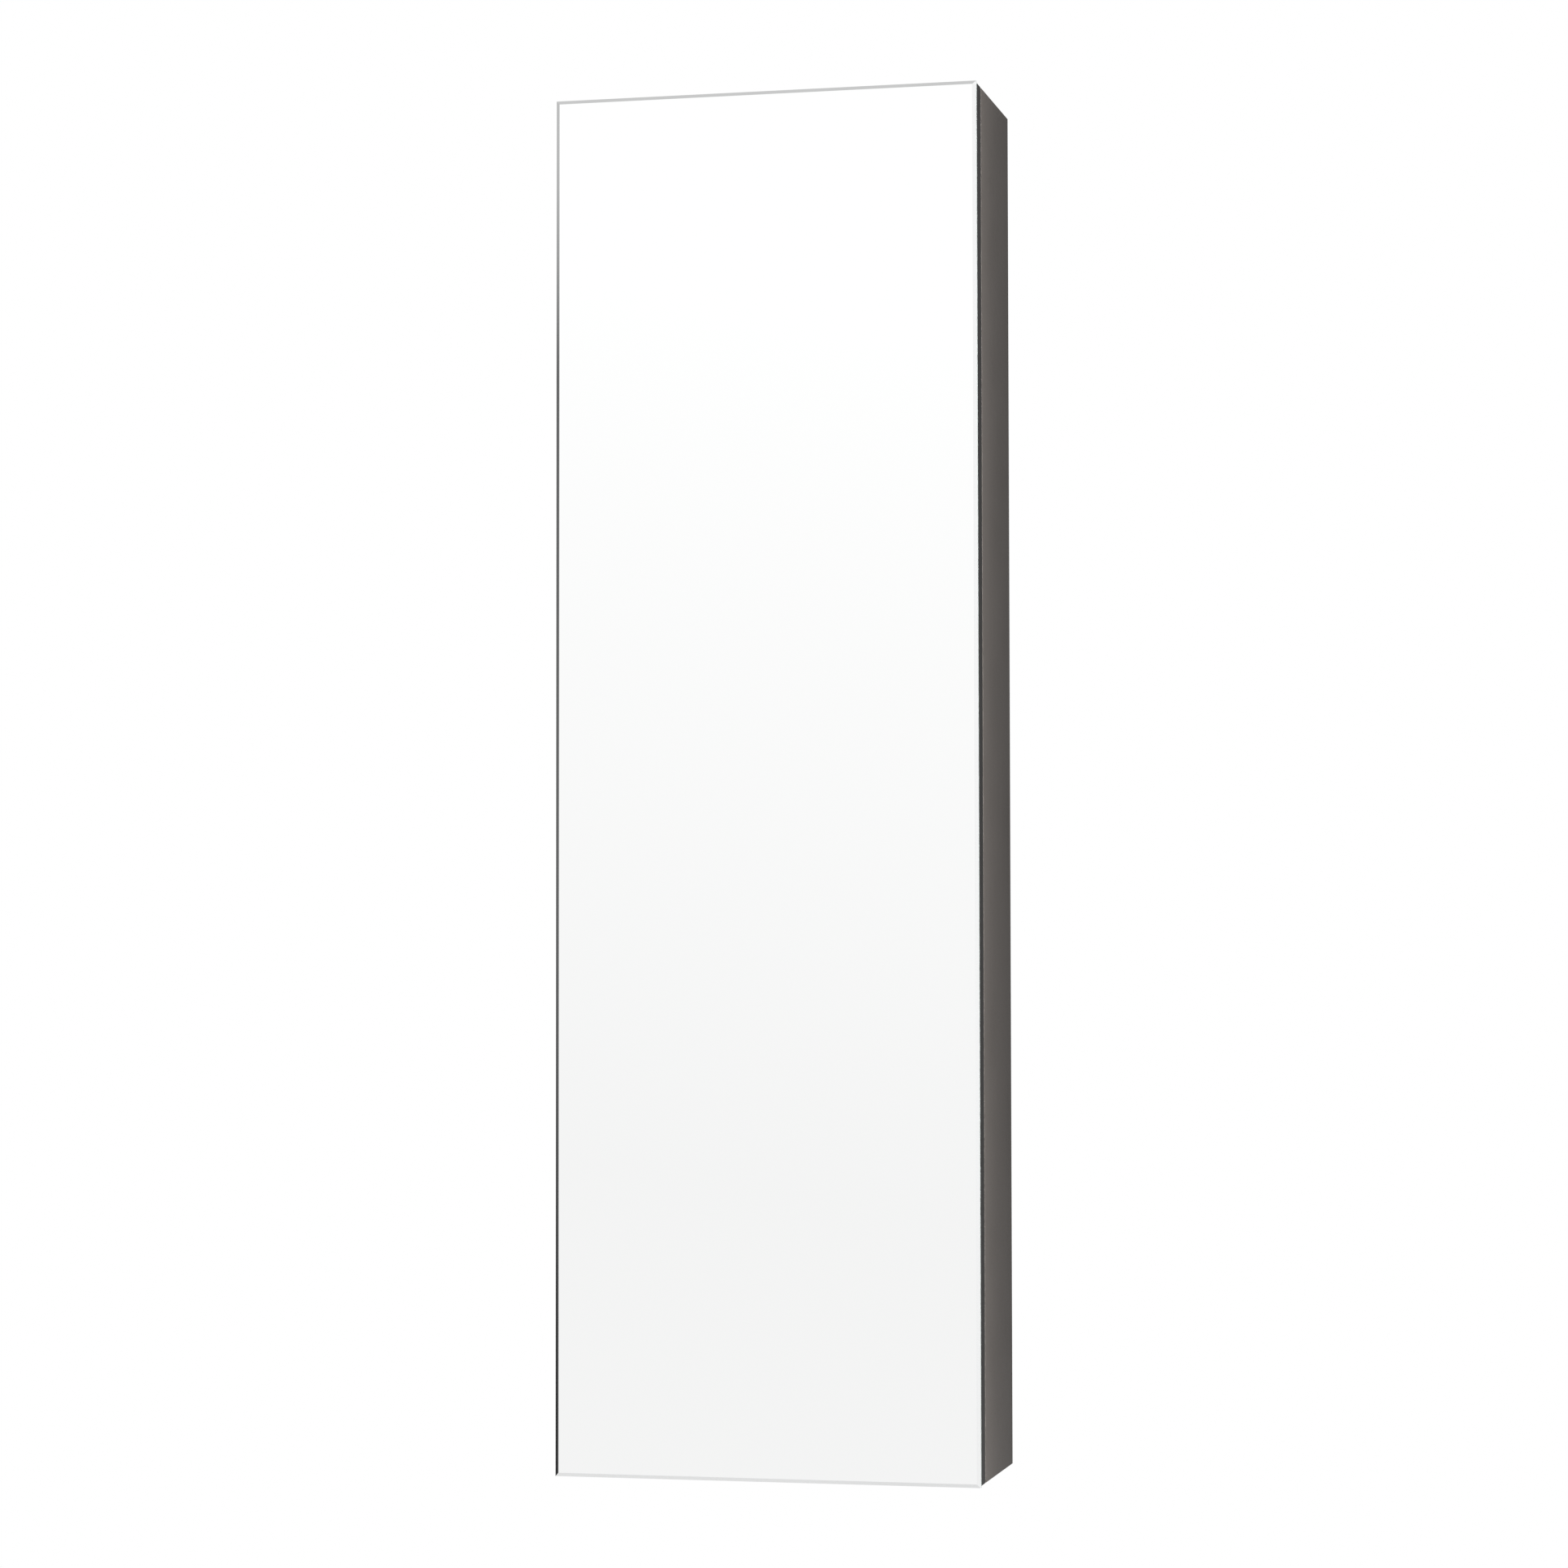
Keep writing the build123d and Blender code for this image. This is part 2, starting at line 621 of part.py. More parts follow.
# ---------------------------------------------------------------- hinges
PLATE_WING = 14.0
RIDGE_HALF = 5.5
ARM_TOP = PLATE_RIDGE + 0.2
ARM_REAR = -60.0
ARM_CHANNEL_FRONT = -12.0
NECK_POST = (3.0, 7.5)  # the neck's upright part, from the side panel's inner face
ADJUSTERS_V = (-24.0, -52.0)
ADJUSTER_R = 2.5


def build_cup(z, name):
    """Pressed cup with a screw flange, and two ears inside it that hold the pivot pin."""
    ear_depth = PIVOT_FROM_FACE - EYE_R
    bottom = CUP_DEPTH - CUP_WALL
    ear = (PIVOT_U - CUP_U, NECK_HALF + 0.4)
    with BuildPart() as cup:
        drill(cup_plane(z), CUP_R - FIT, CUP_DEPTH - FIT, Mode.ADD)
        with BuildSketch(cup_plane(z)):
            with Locations((CUP_SCREW_OFFSET, 0)):
                RectangleRounded(14.0, CUP_SCREW_SPACING + 14.0, 6.9)
            Circle(CUP_R + 2.0)
            with Locations((-CUP_R - 5.0, 0)):
                Rectangle(10.0, 4 * CUP_R, mode=Mode.SUBTRACT)
        extrude(amount=-CUP_FLANGE)
        top = cup_plane(z, -CUP_FLANGE)
        drill(top, CUP_R - CUP_WALL, ear_depth + CUP_FLANGE)
        with BuildSketch(cup_plane(z, ear_depth)):
            Circle(CUP_R - CUP_WALL)
            for end in SIDES:
                with Locations((ear[0], end * (ear[1] + CUP_R / 2))):
                    Rectangle(2 * EYE_R + 1.0, CUP_R, mode=Mode.SUBTRACT)
        extrude(amount=bottom - ear_depth, mode=Mode.SUBTRACT)
        drill(pin_plane(z), PIVOT_R + 0.02, PIN_LENGTH)
        for plane in cup_screw_planes(z, -CUP_FLANGE):
            drill(plane, 1.7, CUP_FLANGE)
            cone(plane, 3.3, 2.0, CUP_FLANGE)
    keep(cup, f"hinge_cup_{name}")


def pin_plane(z):
    return Plane(origin=(PIVOT_X, PIVOT_Y, z - PIN_LENGTH / 2))


def build_arm(z, name):
    """Gooseneck arm: an eye on the pivot pin, a neck out of the cup, and a channel over the plate."""
    neck_top = PIVOT_V - 1.1
    neck_low = PIVOT_V + EYE_R
    rise = ARM_TOP + ARM_PLATE
    plane = hinge_plane(z)
    with BuildPart() as arm:
        with BuildSketch(plane):
            with BuildLine():
                Polyline(
                    (PIVOT_U, neck_low),
                    (PIVOT_U, neck_top),
                    (NECK_POST[0] + 1.0, neck_top),
                    (NECK_POST[0] + 1.0, neck_low),
                    close=True,
                )
            make_face()
            with Locations((PIVOT_U, PIVOT_V)):
                Circle(EYE_R)
        extrude(amount=NECK_HALF, both=True)
        with BuildSketch(plane) as outline:
            with BuildLine():
                Polyline(
                    (NECK_POST[0], neck_low),
                    (NECK_POST[0], ARM_CHANNEL_FRONT + 3.0),
                    (NECK_POST[0], ARM_CHANNEL_FRONT),
                    (rise, ARM_CHANNEL_FRONT),
                    (rise, ARM_CHANNEL_FRONT + 6.0),
                    (NECK_POST[1], 2.0),
                    (NECK_POST[1], neck_low),
                    close=True,
                )
            make_face()
            fillet(outline.vertices().sort_by(Axis.X)[-4:-2], 1.5)
        extrude(amount=NECK_HALF + 2.0, both=True)
        channel = (ARM_CHANNEL_FRONT, ARM_REAR)
        slab(
            (-INNER_X + 3.5, -INNER_X + rise),
            tuple(CARCASS_FRONT - v for v in channel),
            (z - ARM_HALF, z + ARM_HALF),
        )
        slab(
            (-INNER_X, -INNER_X + ARM_TOP),
            tuple(CARCASS_FRONT - v for v in (ARM_CHANNEL_FRONT - 2.0, ARM_REAR - 1.0)),
            (z - RIDGE_HALF - 0.3, z + RIDGE_HALF + 0.3),
            Mode.SUBTRACT,
        )
        drill(pin_plane(z), PIVOT_R + RUNNING, PIN_LENGTH)
        for v in ADJUSTERS_V:
            top = along_x(-INNER_X + rise, CARCASS_FRONT - v, z, -1)
            drill(top, ADJUSTER_R + FIT, ARM_PLATE)
    keep(arm, f"hinge_arm_{name}")


def build_plate(z, name):
    """Mounting plate on the side panel: two screw wings and a ridge that the arm straddles."""
    y = CARCASS_FRONT + PLATE_SETBACK
    with BuildPart() as plate:
        with BuildSketch(along_x(-INNER_X, y, z, 1)):
            RectangleRounded(PLATE_WING, PLATE_SCREW_SPACING + 16.0, 5.0)
        extrude(amount=PLATE_THICK)
        slab(
            (-INNER_X, -INNER_X + PLATE_RIDGE),
            tuple(CARCASS_FRONT - v for v in (ARM_CHANNEL_FRONT - 4.0, ARM_REAR + 1.0)),
            (z - RIDGE_HALF, z + RIDGE_HALF),
        )
        for plane in plate_screw_planes(z, PLATE_THICK):
            drill(plane, 2.5 + FIT, PLATE_THICK)
            cone(plane, 4.5 + FIT, 2.5 + FIT, 2.0)
        for v in ADJUSTERS_V:
            top = along_x(-INNER_X + PLATE_RIDGE, CARCASS_FRONT - v, z, -1)
            drill(top, ADJUSTER_R, 7.0)
    keep(plate, f"hinge_plate_{name}")


def build_hinges():
    for name, height in HINGE_HEIGHTS.items():
        z = BOTTOM + height
        build_cup(z, name)
        build_arm(z, name)
        build_plate(z, name)

    levels = [BOTTOM + height for height in HINGE_HEIGHTS.values()]
    with BuildPart() as pins:
        for z in levels:
            drill(pin_plane(z), PIVOT_R, PIN_LENGTH, Mode.ADD)
    keep(pins, "hinge_pins")

    with BuildPart() as cup_screws:
        for z in levels:
            for plane in cup_screw_planes(z, -CUP_FLANGE):
                countersunk(plane, 1.5, 13.0, 3.2, CUP_FLANGE)
    keep(cup_screws, "hinge_cup_screws")

    with BuildPart() as plate_screws:
        for z in levels:
            for plane in plate_screw_planes(z, PLATE_THICK):
                countersunk(plane, 2.45, 13.0, 4.4, 2.0)
    keep(plate_screws, "hinge_plate_screws")

    with BuildPart() as adjusters:
        for z in levels:
            for v in ADJUSTERS_V:
                rise = ARM_TOP + ARM_PLATE
                seat = along_x(-INNER_X + rise, CARCASS_FRONT - v, z, -1)
                drill(seat, ADJUSTER_R - FIT / 2, 8.0, Mode.ADD)
                drill(seat, 4.2, -2.0, Mode.ADD)
                cross(seat.offset(-2.0), 5.0, 1.0, 1.2)
    keep(adjusters, "hinge_adjust_screws")


# ---------------------------------------------------------------- push latch
LATCH_SCREW_Y = LATCH_FRONT + 12.0


def latch_screw_heights():
    return (LATCH_Z - LATCH_HALF - LATCH_EAR, LATCH_Z + LATCH_HALF + LATCH_EAR)


def strike_plane(height=0.0):
    return Plane(origin=(LATCH_X, DOOR_BACK + height, LATCH_Z), x_dir=(1, 0, 0), z_dir=(0, -1, 0))


def build_latch():
    back = LATCH_FRONT + LATCH_LENGTH
    nose = Plane(origin=(LATCH_X, LATCH_FRONT, LATCH_Z), x_dir=(1, 0, 0), z_dir=(0, 1, 0))
    with BuildPart() as housing:
        slab(
            (LATCH_X - LATCH_HALF, INNER_X),
            (LATCH_FRONT, back),
            (LATCH_Z - LATCH_HALF, LATCH_Z + LATCH_HALF),
        )
        fillet(housing.edges().filter_by(Axis.Y).group_by(Axis.X)[0], 4.0)
        chamfer(housing.faces().sort_by(Axis.Y)[0].edges().group_by(Axis.X)[0], 1.0)
        ears = LATCH_HALF + 2 * LATCH_EAR
        slab(
            (INNER_X - 2.5, INNER_X),
            (LATCH_SCREW_Y - 6.0, LATCH_SCREW_Y + 6.0),
            (LATCH_Z - ears, LATCH_Z + ears),
        )
        drill(nose, PLUNGER_R + RUNNING, LATCH_BORE)
        for z in latch_screw_heights():
            drill(along_x(INNER_X - 2.5, LATCH_SCREW_Y, z, 1), 1.7, 2.5)
    keep(housing, "latch_housing")

    with BuildPart() as screws:
        for z in latch_screw_heights():
            start = along_x(INNER_X - 2.5, LATCH_SCREW_Y, z, 1)
            drill(start, 1.25, 11.0, Mode.ADD)
            cone(start, 2.9, 2.2, -1.6, Mode.ADD)
            cross(start.offset(-1.6), 2.6, 0.7, 0.9)
    keep(screws, "latch_screws")

    tip = Plane(origin=(LATCH_X, PLUNGER_TIP, LATCH_Z), x_dir=(1, 0, 0), z_dir=(0, 1, 0))
    with BuildPart() as magnet:
        drill(tip, PLUNGER_R - 0.3, MAGNET, Mode.ADD)
    keep(magnet, "latch_magnet")

    with BuildPart() as plunger:
        drill(tip.offset(0.6), PLUNGER_R, PLUNGER_LENGTH - 0.6, Mode.ADD)
        drill(tip, PLUNGER_R - 0.3, MAGNET)
    keep(plunger, "latch_plunger")

    with BuildPart() as strike:
        drill(strike_plane(STRIKE), STRIKE_R, STRIKE, Mode.ADD)
        cone(strike_plane(STRIKE), 2.8, 1.6, STRIKE)
    keep(strike, "strike_plate")

    with BuildPart() as screw:
        countersunk(strike_plane(STRIKE), 1.5, 12.0, 2.7, 1.0)
    keep(screw, "strike_screw")


def main():
    os.makedirs("parts", exist_ok=True)
    build_carcass()
    build_joint_hardware()
    build_shelves()
    build_rail()
    build_hanger(-1, "left")
    build_hanger(1, "right")
    build_hanger_screws()
    build_door()
    build_hinges()
    build_latch()


main()
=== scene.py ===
"""Looks for the hanging mirror cabinet: materials, studio, and the camera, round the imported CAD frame."""

import json
import math

import bmesh
import bpy
from mathutils import Matrix, Vector

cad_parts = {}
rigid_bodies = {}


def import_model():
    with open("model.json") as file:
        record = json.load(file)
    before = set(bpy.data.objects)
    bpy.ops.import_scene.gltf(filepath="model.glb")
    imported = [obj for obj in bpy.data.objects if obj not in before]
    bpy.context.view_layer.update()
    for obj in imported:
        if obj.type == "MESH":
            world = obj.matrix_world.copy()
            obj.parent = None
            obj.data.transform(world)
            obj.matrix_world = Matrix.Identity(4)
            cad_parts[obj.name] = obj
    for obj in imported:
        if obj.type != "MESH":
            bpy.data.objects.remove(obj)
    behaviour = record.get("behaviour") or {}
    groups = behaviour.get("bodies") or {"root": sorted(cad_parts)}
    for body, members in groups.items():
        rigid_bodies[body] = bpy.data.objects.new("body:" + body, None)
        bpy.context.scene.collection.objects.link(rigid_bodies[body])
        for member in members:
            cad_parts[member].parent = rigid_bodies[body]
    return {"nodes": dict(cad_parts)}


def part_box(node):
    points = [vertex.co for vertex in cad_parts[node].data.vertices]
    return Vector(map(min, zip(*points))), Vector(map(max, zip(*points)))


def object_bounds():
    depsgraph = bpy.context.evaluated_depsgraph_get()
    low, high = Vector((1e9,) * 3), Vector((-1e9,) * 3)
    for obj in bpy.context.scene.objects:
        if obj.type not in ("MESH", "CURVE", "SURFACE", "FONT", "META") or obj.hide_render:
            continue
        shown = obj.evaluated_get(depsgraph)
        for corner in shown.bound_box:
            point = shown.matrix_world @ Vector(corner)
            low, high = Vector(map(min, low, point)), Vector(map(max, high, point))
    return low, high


for leftover in list(bpy.data.objects):
    bpy.data.objects.remove(leftover)

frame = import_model()
cad_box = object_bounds()
NODES = frame["nodes"]
MM = 0.001


# ---------------------------------------------------------------- node trees
class Tree:
    """Builds shader nodes. Every method returns an output socket; an input may be a socket or a value."""

    def __init__(self, owner):
        owner.use_nodes = True
        self.tree = owner.node_tree
        self.nodes = self.tree.nodes

    def node(self, kind, inputs=(), **settings):
        made = self.nodes.new("ShaderNode" + kind)
        for key, value in settings.items():
            setattr(made, key, value)
        for key, value in dict(inputs).items():
            self.put(made.inputs[key], value)
        return made

    def put(self, socket, value):
        if isinstance(value, bpy.types.NodeSocket):
            self.tree.links.new(value, socket)
        else:
            socket.default_value = value

    def math(self, operation, a, b):
        return self.node("Math", {0: a, 1: b}, operation=operation).outputs[0]

    def span(self, value, low, high, to_low=0.0, to_high=1.0, smooth=True):
        """Carries low..high to to_low..to_high, and holds the ends."""
        kind = "SMOOTHSTEP" if smooth else "LINEAR"
        made = self.node("MapRange", interpolation_type=kind, clamp=True)
        for key, number in zip(range(5), (value, low, high, to_low, to_high)):
            self.put(made.inputs[key], number)
        return made.outputs[0]

    def mix(self, share, a, b):
        """Between two colours."""
        made = self.node("Mix", data_type="RGBA")
        for key, value in ((0, share), (6, a), (7, b)):
            self.put(made.inputs[key], value)
        return made.outputs[2]

    def blend(self, share, a, b):
        """Between two numbers."""
        return self.node("Mix", {0: share, 2: a, 3: b}).outputs[0]

    def split(self, vector):
        return self.node("SeparateXYZ", {0: vector}).outputs

    def noise(self, scale, detail=3.0, stretch=None):
        """Scale is per metre; stretch multiplies each axis."""
        vector = self.place
        if stretch:
            vector = self.node("VectorMath", {0: self.place, 1: stretch}, operation="MULTIPLY").outputs[0]
        inputs = {"Vector": vector, "Scale": scale, "Detail": detail}
        return self.node("TexNoise", inputs).outputs["Fac"]

    def bump(self, height, distance, strength):
        return self.node("Bump", {"Height": height, "Distance": distance, "Strength": strength}).outputs[0]


class Material(Tree):
    """A principled material whose textures keep to the piece at rest size, in metres."""

    def __init__(self, name, **sockets):
        self.material = bpy.data.materials.new(name)
        super().__init__(self.material)
        self.shader = self.nodes["Principled BSDF"]
        coords = self.node("TexCoord")
        self.place = coords.outputs["Object"]
        self.normal = coords.outputs["Normal"]
        self.set(**sockets)

    def set(self, **sockets):
        for key, value in sockets.items():
            self.put(self.shader.inputs[key.replace("_", " ")], value)

    def depths(self, low, high):
        """How far a point lies inside each pair of a box's faces, in metres."""
        depths = []
        for value, near, far in zip(self.split(self.place), low, high):
            past_near = self.math("SUBTRACT", value, near)
            before_far = self.math("SUBTRACT", far, value)
            depths.append(self.math("MINIMUM", past_near, before_far))
        return depths

    def from_edge(self, depths):
        """Distance from a box's nearest edge along its faces: the middle one of the three depths."""
        x, y, z = depths
        inner = self.math("MINIMUM", self.math("MAXIMUM", x, y), z)
        return self.math("MAXIMUM", self.math("MINIMUM", x, y), inner)

    def rubbed(self, depths, full, none, most, patches):
        """Patchy wear along a box's edges: most as far in as full, fading out at none; both in metres."""
        along = self.span(self.from_edge(depths), full, none, most, 0.0)
        return self.math("MULTIPLY", along, patches)


def grey(value, warm=0.0):
    return (value * (1 + warm), value, value * (1 - warm), 1.0)


def tint(colour, factor):
    return tuple(channel * factor for channel in colour[:3]) + (1.0,)


# ---------------------------------------------------------------- materials
GRAPHITE = (0.05, 0.0438, 0.0395, 1.0)
BLACK = (0.0095, 0.0093, 0.009, 1.0)
CHIP_LIGHT = (0.52, 0.37, 0.22, 1.0)
CHIP_DARK = (0.23, 0.14, 0.075, 1.0)
FIBRE = (0.27, 0.17, 0.095, 1.0)
DECOR_FILM = 0.06 * MM  # what counts as a board's outer face


def chipboard(t):
    """Colour of a cut particle board edge: chips a few millimetres across."""
    chips = t.node("TexVoronoi", {"Vector": t.place, "Scale": 420.0, "Randomness": 1.0})
    colour = t.mix(t.split(chips.outputs["Color"])[0], CHIP_DARK, CHIP_LIGHT)
    return t.mix(t.span(t.noise(2600.0), 0.35, 0.7), colour, tint(CHIP_DARK, 0.8))


def decor_board(name, colour, raw_axes):
    """Melamine-faced board. Faces across raw_axes, and every bore, show the chipboard core."""
    t = Material("decor_" + name, IOR=1.5)
    low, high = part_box(name)
    depths = t.depths(low, high)
    skin = None
    for axis, depth in enumerate(depths):
        if axis in raw_axes:
            continue
        on_face = t.math("LESS_THAN", depth, DECOR_FILM)
        skin = on_face if skin is None else t.math("MAXIMUM", skin, on_face)
    pearl = t.noise(2300.0, 4.0)
    cloud = t.noise(9.0, 3.0)
    face = t.mix(t.span(cloud, 0.3, 0.7), tint(colour, 0.955), tint(colour, 1.045))
    face = t.mix(t.span(pearl, 0.35, 0.68), tint(colour, 0.86), face)
    worn = t.rubbed(depths, 0.2 * MM, 0.9 * MM, 0.5, t.span(t.noise(160.0), 0.45, 0.7))
    face = t.mix(worn, face, tint(colour, 2.1))
    t.set(Base_Color=t.mix(skin, chipboard(t), face))
    sheen = t.span(pearl, 0.3, 0.7, 0.44, 0.56)
    smudge = t.span(t.noise(14.0, 5.0), 0.4, 0.75, 0.0, 0.07)
    raw = t.math("SUBTRACT", 0.9, skin)
    t.set(Roughness=t.math("SUBTRACT", t.math("MAXIMUM", sheen, raw), smudge))
    t.set(Normal=t.bump(pearl, 0.05 * MM, 0.35))
    return t.material


def edge_band(name, colour):
    """Plastic band: fine scraper lines along it, and corners rubbed a little lighter."""
    t = Material("band_" + name, IOR=1.5)
    low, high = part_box(name)
    size = [b - a for a, b in zip(low, high)]
    along = size.index(max(size))
    stretch = tuple(0.04 if axis == along else 1.0 for axis in range(3))
    lines = t.noise(1900.0, 3.0, stretch)
    worn = t.rubbed(t.depths(low, high), 0.05 * MM, 0.5 * MM, 0.6, t.span(t.noise(210.0), 0.4, 0.7))
    body = t.mix(t.span(lines, 0.3, 0.7), tint(colour, 0.9), tint(colour, 1.1))
    t.set(Base_Color=t.mix(worn, body, tint(colour, 2.0)))
    t.set(Roughness=t.span(lines, 0.3, 0.7, 0.34, 0.46))
    t.set(Normal=t.bump(lines, 0.03 * MM, 0.3))
    return t.material


def back_board():
    """Fibreboard: decor inside, bare pressed fibre with a mesh print at the rear."""
    t = Material("back_board", IOR=1.5)
    rear = t.math("GREATER_THAN", t.split(t.normal)[1], 0.5)
    fibres = t.noise(900.0, 5.0, (1.0, 1.0, 0.35))
    speck = t.noise(3200.0, 2.0)
    bare = t.mix(t.span(fibres, 0.3, 0.7), tint(FIBRE, 0.72), tint(FIBRE, 1.15))
    bare = t.mix(t.span(speck, 0.55, 0.75, 0.0, 0.5), bare, tint(FIBRE, 0.45))
    inside = t.mix(t.span(speck, 0.3, 0.7), tint(GRAPHITE, 0.85), tint(GRAPHITE, 1.02))
    t.set(Base_Color=t.mix(rear, inside, bare))
    rougher = t.math("ADD", t.math("MULTIPLY", rear, 0.3), t.math("MULTIPLY", speck, 0.15))
    t.set(Roughness=t.span(rougher, 0.0, 0.45, 0.48, 0.8))
    waves = {"Vector": t.place, "Scale": 260.0, "Distortion": 0.6}
    upright, level = (t.node("TexWave", waves, bands_direction=axis).outputs["Fac"] for axis in "XZ")
    mesh_print = t.math("MULTIPLY", t.math("MULTIPLY", upright, level), rear)
    t.set(Normal=t.bump(t.math("ADD", mesh_print, t.math("MULTIPLY", speck, 0.3)), 0.08 * MM, 0.5))
    return t.material


def mirror():
    """Silvered glass: clear reflection in front, a bright bevel, grey-green edges, grey paint behind."""
    t = Material("mirror", IOR=1.52)
    facing = t.split(t.normal)[1]  # -1 in front, 1 behind
    front = t.span(facing, -0.97, -0.9, 1.0, 0.0)
    bevel = t.math("MULTIPLY", t.span(facing, -0.9, -0.85), t.span(facing, -0.5, -0.4, 1.0, 0.0))
    silvered = t.math("MAXIMUM", front, bevel)
    rear = t.span(facing, 0.4, 0.6)
    grind = t.noise(1500.0, 3.0)
    haze = t.noise(7.0, 4.0)
    tone = t.span(grind, 0.3, 0.7)
    silver = (0.938, 0.941, 0.939, 1.0)
    ground = t.mix(tone, (0.835, 0.84, 0.84, 1.0), (0.865, 0.87, 0.87, 1.0))
    edge = t.mix(tone, (0.27, 0.3, 0.29, 1.0), (0.38, 0.41, 0.4, 1.0))
    paint = t.mix(tone, grey(0.2), grey(0.25))
    t.set(Base_Color=t.mix(front, t.mix(bevel, t.mix(rear, edge, paint), ground), silver))
    t.set(Metallic=silvered)
    film = t.span(haze, 0.35, 0.75, 0.0, 0.012)
    t.set(Roughness=t.math("ADD", t.span(silvered, 0.0, 1.0, 0.16, 0.0), film))
    t.set(Normal=t.bump(t.math("MULTIPLY", grind, t.math("SUBTRACT", 1.0, front)), 0.02 * MM, 0.25))
    return t.material


def clear_glass(name):
    """Toughened pane: clear, greener towards its polished edges."""
    t = Material("pane_" + name, IOR=1.52)
    t.set(Transmission_Weight=1.0)
    x, y, _ = t.depths(*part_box(name))
    inward = t.span(t.math("MINIMUM", x, y), 0.3 * MM, 3.5 * MM)
    t.set(Base_Color=t.mix(inward, (0.5, 0.78, 0.7, 1.0), (0.955, 0.985, 0.975, 1.0)))
    dust = t.span(t.noise(60.0, 5.0), 0.5, 0.8, 0.0, 0.03)
    t.set(Roughness=t.math("ADD", t.span(inward, 0.0, 1.0, 0.12, 0.005), dust))
    return t.material


def metal(name, colour, rough, scratch=1.0, axis=2, tone=0.06):
    """Plated sheet: faint drawing lines, soft cloudy tone, and rubbed patches."""
    t = Material(name, Metallic=1.0)
    stretch = tuple(0.05 if i == axis else 1.0 for i in range(3))
    lines = t.noise(2800.0, 3.0, stretch)
    cloud = t.noise(130.0, 4.0)
    body = t.mix(t.span(cloud, 0.3, 0.7), tint(colour, 1 - tone), tint(colour, 1 + tone))
    t.set(Base_Color=t.mix(t.span(lines, 0.5, 0.8, 0.0, 0.4), body, tint(colour, 0.72)))
    drawn = t.span(lines, 0.3, 0.7, rough - 0.05, rough + 0.07)
    t.set(Roughness=t.math("ADD", drawn, t.span(cloud, 0.4, 0.8, 0.0, 0.08)))
    t.set(Normal=t.bump(lines, 0.02 * MM, 0.3 * scratch))
    return t.material


def moulded(name, colour, rough=0.5, **sockets):
    """Moulded plastic or rubber: fine spark grain, slight tone."""
    t = Material(name, IOR=1.46, **sockets)
    grain = t.noise(4200.0, 3.0)
    cloud = t.noise(70.0, 3.0)
    body = t.mix(t.span(cloud, 0.3, 0.7), tint(colour, 0.92), tint(colour, 1.08))
    t.set(Base_Color=t.mix(t.span(grain, 0.55, 0.75, 0.0, 0.35), body, tint(colour, 0.8)))
    t.set(Roughness=t.span(grain, 0.3, 0.7, rough - 0.06, rough + 0.08))
    t.set(Normal=t.bump(grain, 0.03 * MM, 0.4))
    return t.material


def beech():
    t = Material("beech", IOR=1.45, Roughness=0.62)
    grain = t.noise(700.0, 4.0, (0.06, 1.0, 1.0))
    t.set(Base_Color=t.mix(t.span(grain, 0.3, 0.7), (0.42, 0.26, 0.14, 1.0), (0.62, 0.43, 0.26, 1.0)))
    t.set(Normal=t.bump(grain, 0.05 * MM, 0.5))
    return t.material


def dress(material, *names):
    for name in names:
        slots = NODES[name].data.materials
        slots.clear()
        slots.append(material)


def family(prefix):
    return [name for name in sorted(NODES) if name.startswith(prefix)]


RAW = {"side": (1,), "top": (1,), "bottom": (1,), "middle": (0, 1), "door": (0, 2)}
for board in ("side_panel_left", "side_panel_right", "top_panel", "bottom_panel", "middle_shelf"):
    dress(decor_board(board, GRAPHITE, RAW[board.split("_")[0]]), board)
dress(decor_board("door_board", BLACK, RAW["door"]), "door_board")
for band in ("side_band_left", "side_band_right", "top_band", "bottom_band", "shelf_band"):
    dress(edge_band(band, tint(GRAPHITE, 0.95)), band)
for band in family("door_band_"):
    dress(edge_band(band, BLACK), band)
dress(back_board(), "back_panel")
dress(mirror(), "mirror_glass")
for pane in family("glass_shelf_"):
    dress(clear_glass(pane), pane)

ZINC = (0.56, 0.57, 0.6, 1.0)
NICKEL = (0.58, 0.555, 0.52, 1.0)
CAST_ZINC = (0.42, 0.43, 0.45, 1.0)
FERRITE = (0.16, 0.16, 0.17, 1.0)
RUBBER = (0.7, 0.71, 0.7, 1.0)
dress(metal("zinc_rail", ZINC, 0.34, axis=0), "wall_rail")
dress(metal("zinc_sheet", ZINC, 0.3), "strike_plate", *family("shelf_supports_"), *family("hanger_hook_"))
SCREWS = ("hanger_fixing_screws", "hanger_adjust_screws", "hinge_adjust_screws", "latch_screws",
          "strike_screw")
dress(metal("zinc_screw", ZINC, 0.26), "cam_bolts", "hinge_pins", *SCREWS)
dress(metal("cast_zinc", CAST_ZINC, 0.45, 1.6), "cam_locks")
nickel = metal("nickel", NICKEL, 0.34, tone=0.05)
for pieces in ("hinge_arm_", "hinge_cup_", "hinge_plate_"):
    dress(nickel, *family(pieces))
dress(metal("magnet", FERRITE, 0.35), "latch_magnet")
dress(moulded("plastic_grey", grey(0.2, 0.01)), "latch_housing", *family("hanger_casing_"))
plastic_dark = moulded("plastic_dark", tint(GRAPHITE, 0.85), 0.45)
dress(plastic_dark, "cam_caps", "latch_plunger", *family("hanger_cover_"))
rubber_clear = moulded("rubber_clear", RUBBER, 0.3, Transmission_Weight=0.5)
dress(rubber_clear, "door_bumpers", "shelf_pads")
dress(moulded("foam_tape", grey(0.62, 0.01), 0.85), "mirror_tape")
dress(beech(), "dowels")


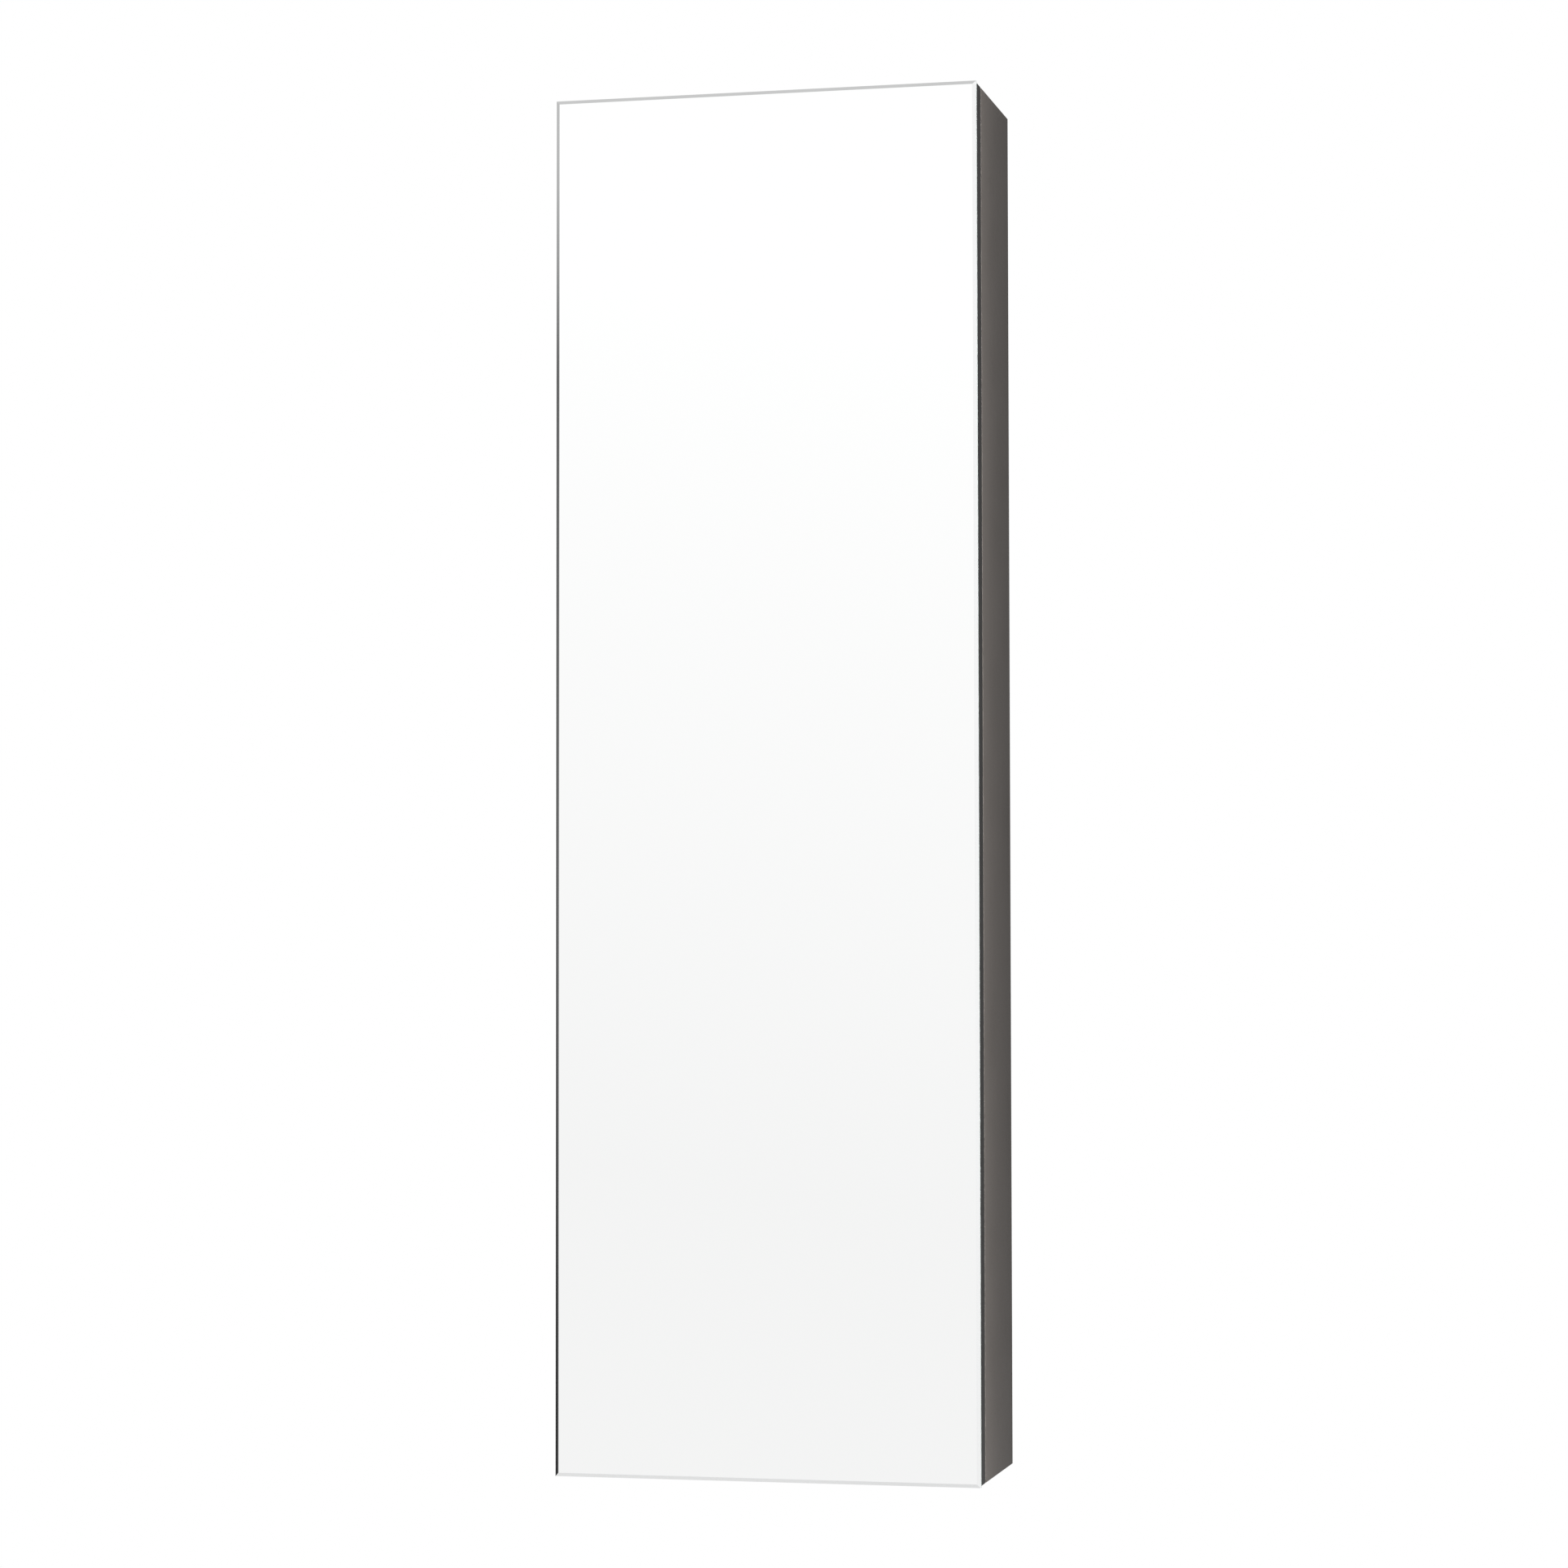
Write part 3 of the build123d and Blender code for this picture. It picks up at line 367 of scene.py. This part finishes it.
# ---------------------------------------------------------------- studio
FLOOR_DROP = 0.9  # below the cabinet
FLOOR_RADIUS = 4.8
FLOOR_GLOW = (0.15, 1.0)  # under the cabinet and at the rim
AMBIENT = 0.8  # level that lights the matt surfaces
SILVER = 0.94  # share of light the mirror gives back

# The backdrop that reflections see. Each row is a range of the ray's direction along an axis, and what it
# gives at the range's two ends.
GRADIENT = (-0.0584, 0.158, 0.905 / SILVER, 1.003 / SILVER)  # level in front, upwards
GRADIENT_LEAN = 0.167  # rise of the gradient with x
GRADIENT_CENTRE = -0.227  # x at which that rise is nil
FOOT = (-0.21, -0.14, 1.0, 0.9)  # level of the floor in front, upwards
REAR = (0.72, 0.93, 0.68, 0.05)  # level at the sides and overhead, and straight behind
FRONT_SHARE = (-0.55, -0.2, 1.0, 0.0)  # how much of the front shows, towards the rear
LEFT_LOW = (-0.13, 0.03, 0.04, 0.15)  # level at the far left, upwards
LEFT_HIGH = (0.11, 0.21, 0.0, 0.6)
LEFT_SHARE = (-0.96, -0.86, 1.0, 0.0)  # how much of the far left shows, towards the right


def make_floor():
    """A round pale floor under the cabinet that fades into the backdrop at its rim."""
    mesh = bpy.data.meshes.new("studio_floor")
    plan = bmesh.new()
    bmesh.ops.create_circle(plan, cap_ends=True, segments=128, radius=FLOOR_RADIUS)
    plan.to_mesh(mesh)
    plan.free()
    floor = bpy.data.objects.new("studio_floor", mesh)
    floor.location = (0, 0, cad_box[0].z - FLOOR_DROP)
    bpy.context.collection.objects.link(floor)
    t = Material("studio_floor", Roughness=0.9)
    reach = t.node("VectorMath", {0: t.place}, operation="LENGTH").outputs["Value"]
    fade = t.span(reach, FLOOR_RADIUS * 0.35, FLOOR_RADIUS * 0.95)
    glow = t.span(fade, 0.0, 1.0, *FLOOR_GLOW, smooth=False)
    t.set(Emission_Color=(1, 1, 1, 1), Emission_Strength=glow)
    pale = t.mix(t.span(t.noise(3.0), 0.3, 0.7), grey(0.8), grey(0.82))
    t.set(Base_Color=t.mix(fade, pale, grey(0.0)))
    mesh.materials.append(t.material)


def make_world():
    """A pale studio: white to the camera, even light on matt surfaces, and for reflections a backdrop
    that is pale in front and dim at the left and behind."""
    world = bpy.data.worlds.new("studio")
    bpy.context.scene.world = world
    w = Tree(world)
    x, y, z = w.split(w.node("TexCoord").outputs["Generated"])
    lean = w.math("MULTIPLY", w.math("SUBTRACT", x, GRADIENT_CENTRE), GRADIENT_LEAN)
    gradient = w.span(w.math("ADD", z, lean), *GRADIENT, smooth=False)
    front = w.math("MAXIMUM", gradient, w.span(z, *FOOT))
    around = w.blend(w.span(y, *FRONT_SHARE), w.span(y, *REAR), front)
    left = w.math("MAXIMUM", w.span(z, *LEFT_LOW), w.span(z, *LEFT_HIGH))
    around = w.blend(w.span(x, *LEFT_SHARE), around, left)
    ray = w.node("LightPath").outputs
    level = w.blend(ray["Is Diffuse Ray"], around, AMBIENT)
    w.put(w.nodes["Background"].inputs["Color"], w.blend(ray["Is Camera Ray"], level, 1.0))


def softbox(name, place, target, size, power):
    """A rectangular lamp, hidden from the camera and from reflections. Power is in watts."""
    light = bpy.data.lights.new(name, "AREA")
    light.shape = "RECTANGLE"
    light.size, light.size_y = size
    light.energy = power
    box = bpy.data.objects.new(name, light)
    box.location = place
    box.rotation_euler = (Vector(target) - Vector(place)).to_track_quat("-Z", "Y").to_euler()
    box.visible_camera = False
    box.visible_glossy = False
    bpy.context.collection.objects.link(box)


# ---------------------------------------------------------------- camera
LENS = 93.034
SENSOR = 36.0  # millimetres, as the lens
YAW, PITCH, ROLL = (math.radians(angle) for angle in (12.9538, 2.3941, -0.082))
EYE = (0.7472, -3.3274, -0.6385)


def make_camera():
    data = bpy.data.cameras.new("camera")
    data.lens = LENS
    data.sensor_width = SENSOR
    data.clip_start, data.clip_end = 0.05, 60.0
    camera = bpy.data.objects.new("camera", data)
    ahead = Vector((-math.sin(YAW) * math.cos(PITCH), math.cos(YAW) * math.cos(PITCH), math.sin(PITCH)))
    turn = ahead.to_track_quat("-Z", "Y").to_matrix().to_4x4()
    camera.matrix_world = Matrix.Translation(EYE) @ turn @ Matrix.Rotation(ROLL, 4, "Z")
    bpy.context.collection.objects.link(camera)
    bpy.context.scene.camera = camera


make_floor()
make_world()
middle = (cad_box[0].z + cad_box[1].z) / 2
softbox("side_strip", place=(0.25, -0.2, middle), target=(0.175, -0.12, middle), size=(0.04, 1.6), power=3.3)
softbox("overhead", place=(-0.8, -1.9, 1.5), target=(0, -0.1, middle), size=(1.6, 1.0), power=12.0)
make_camera()
bpy.context.scene.view_settings.view_transform = "Standard"
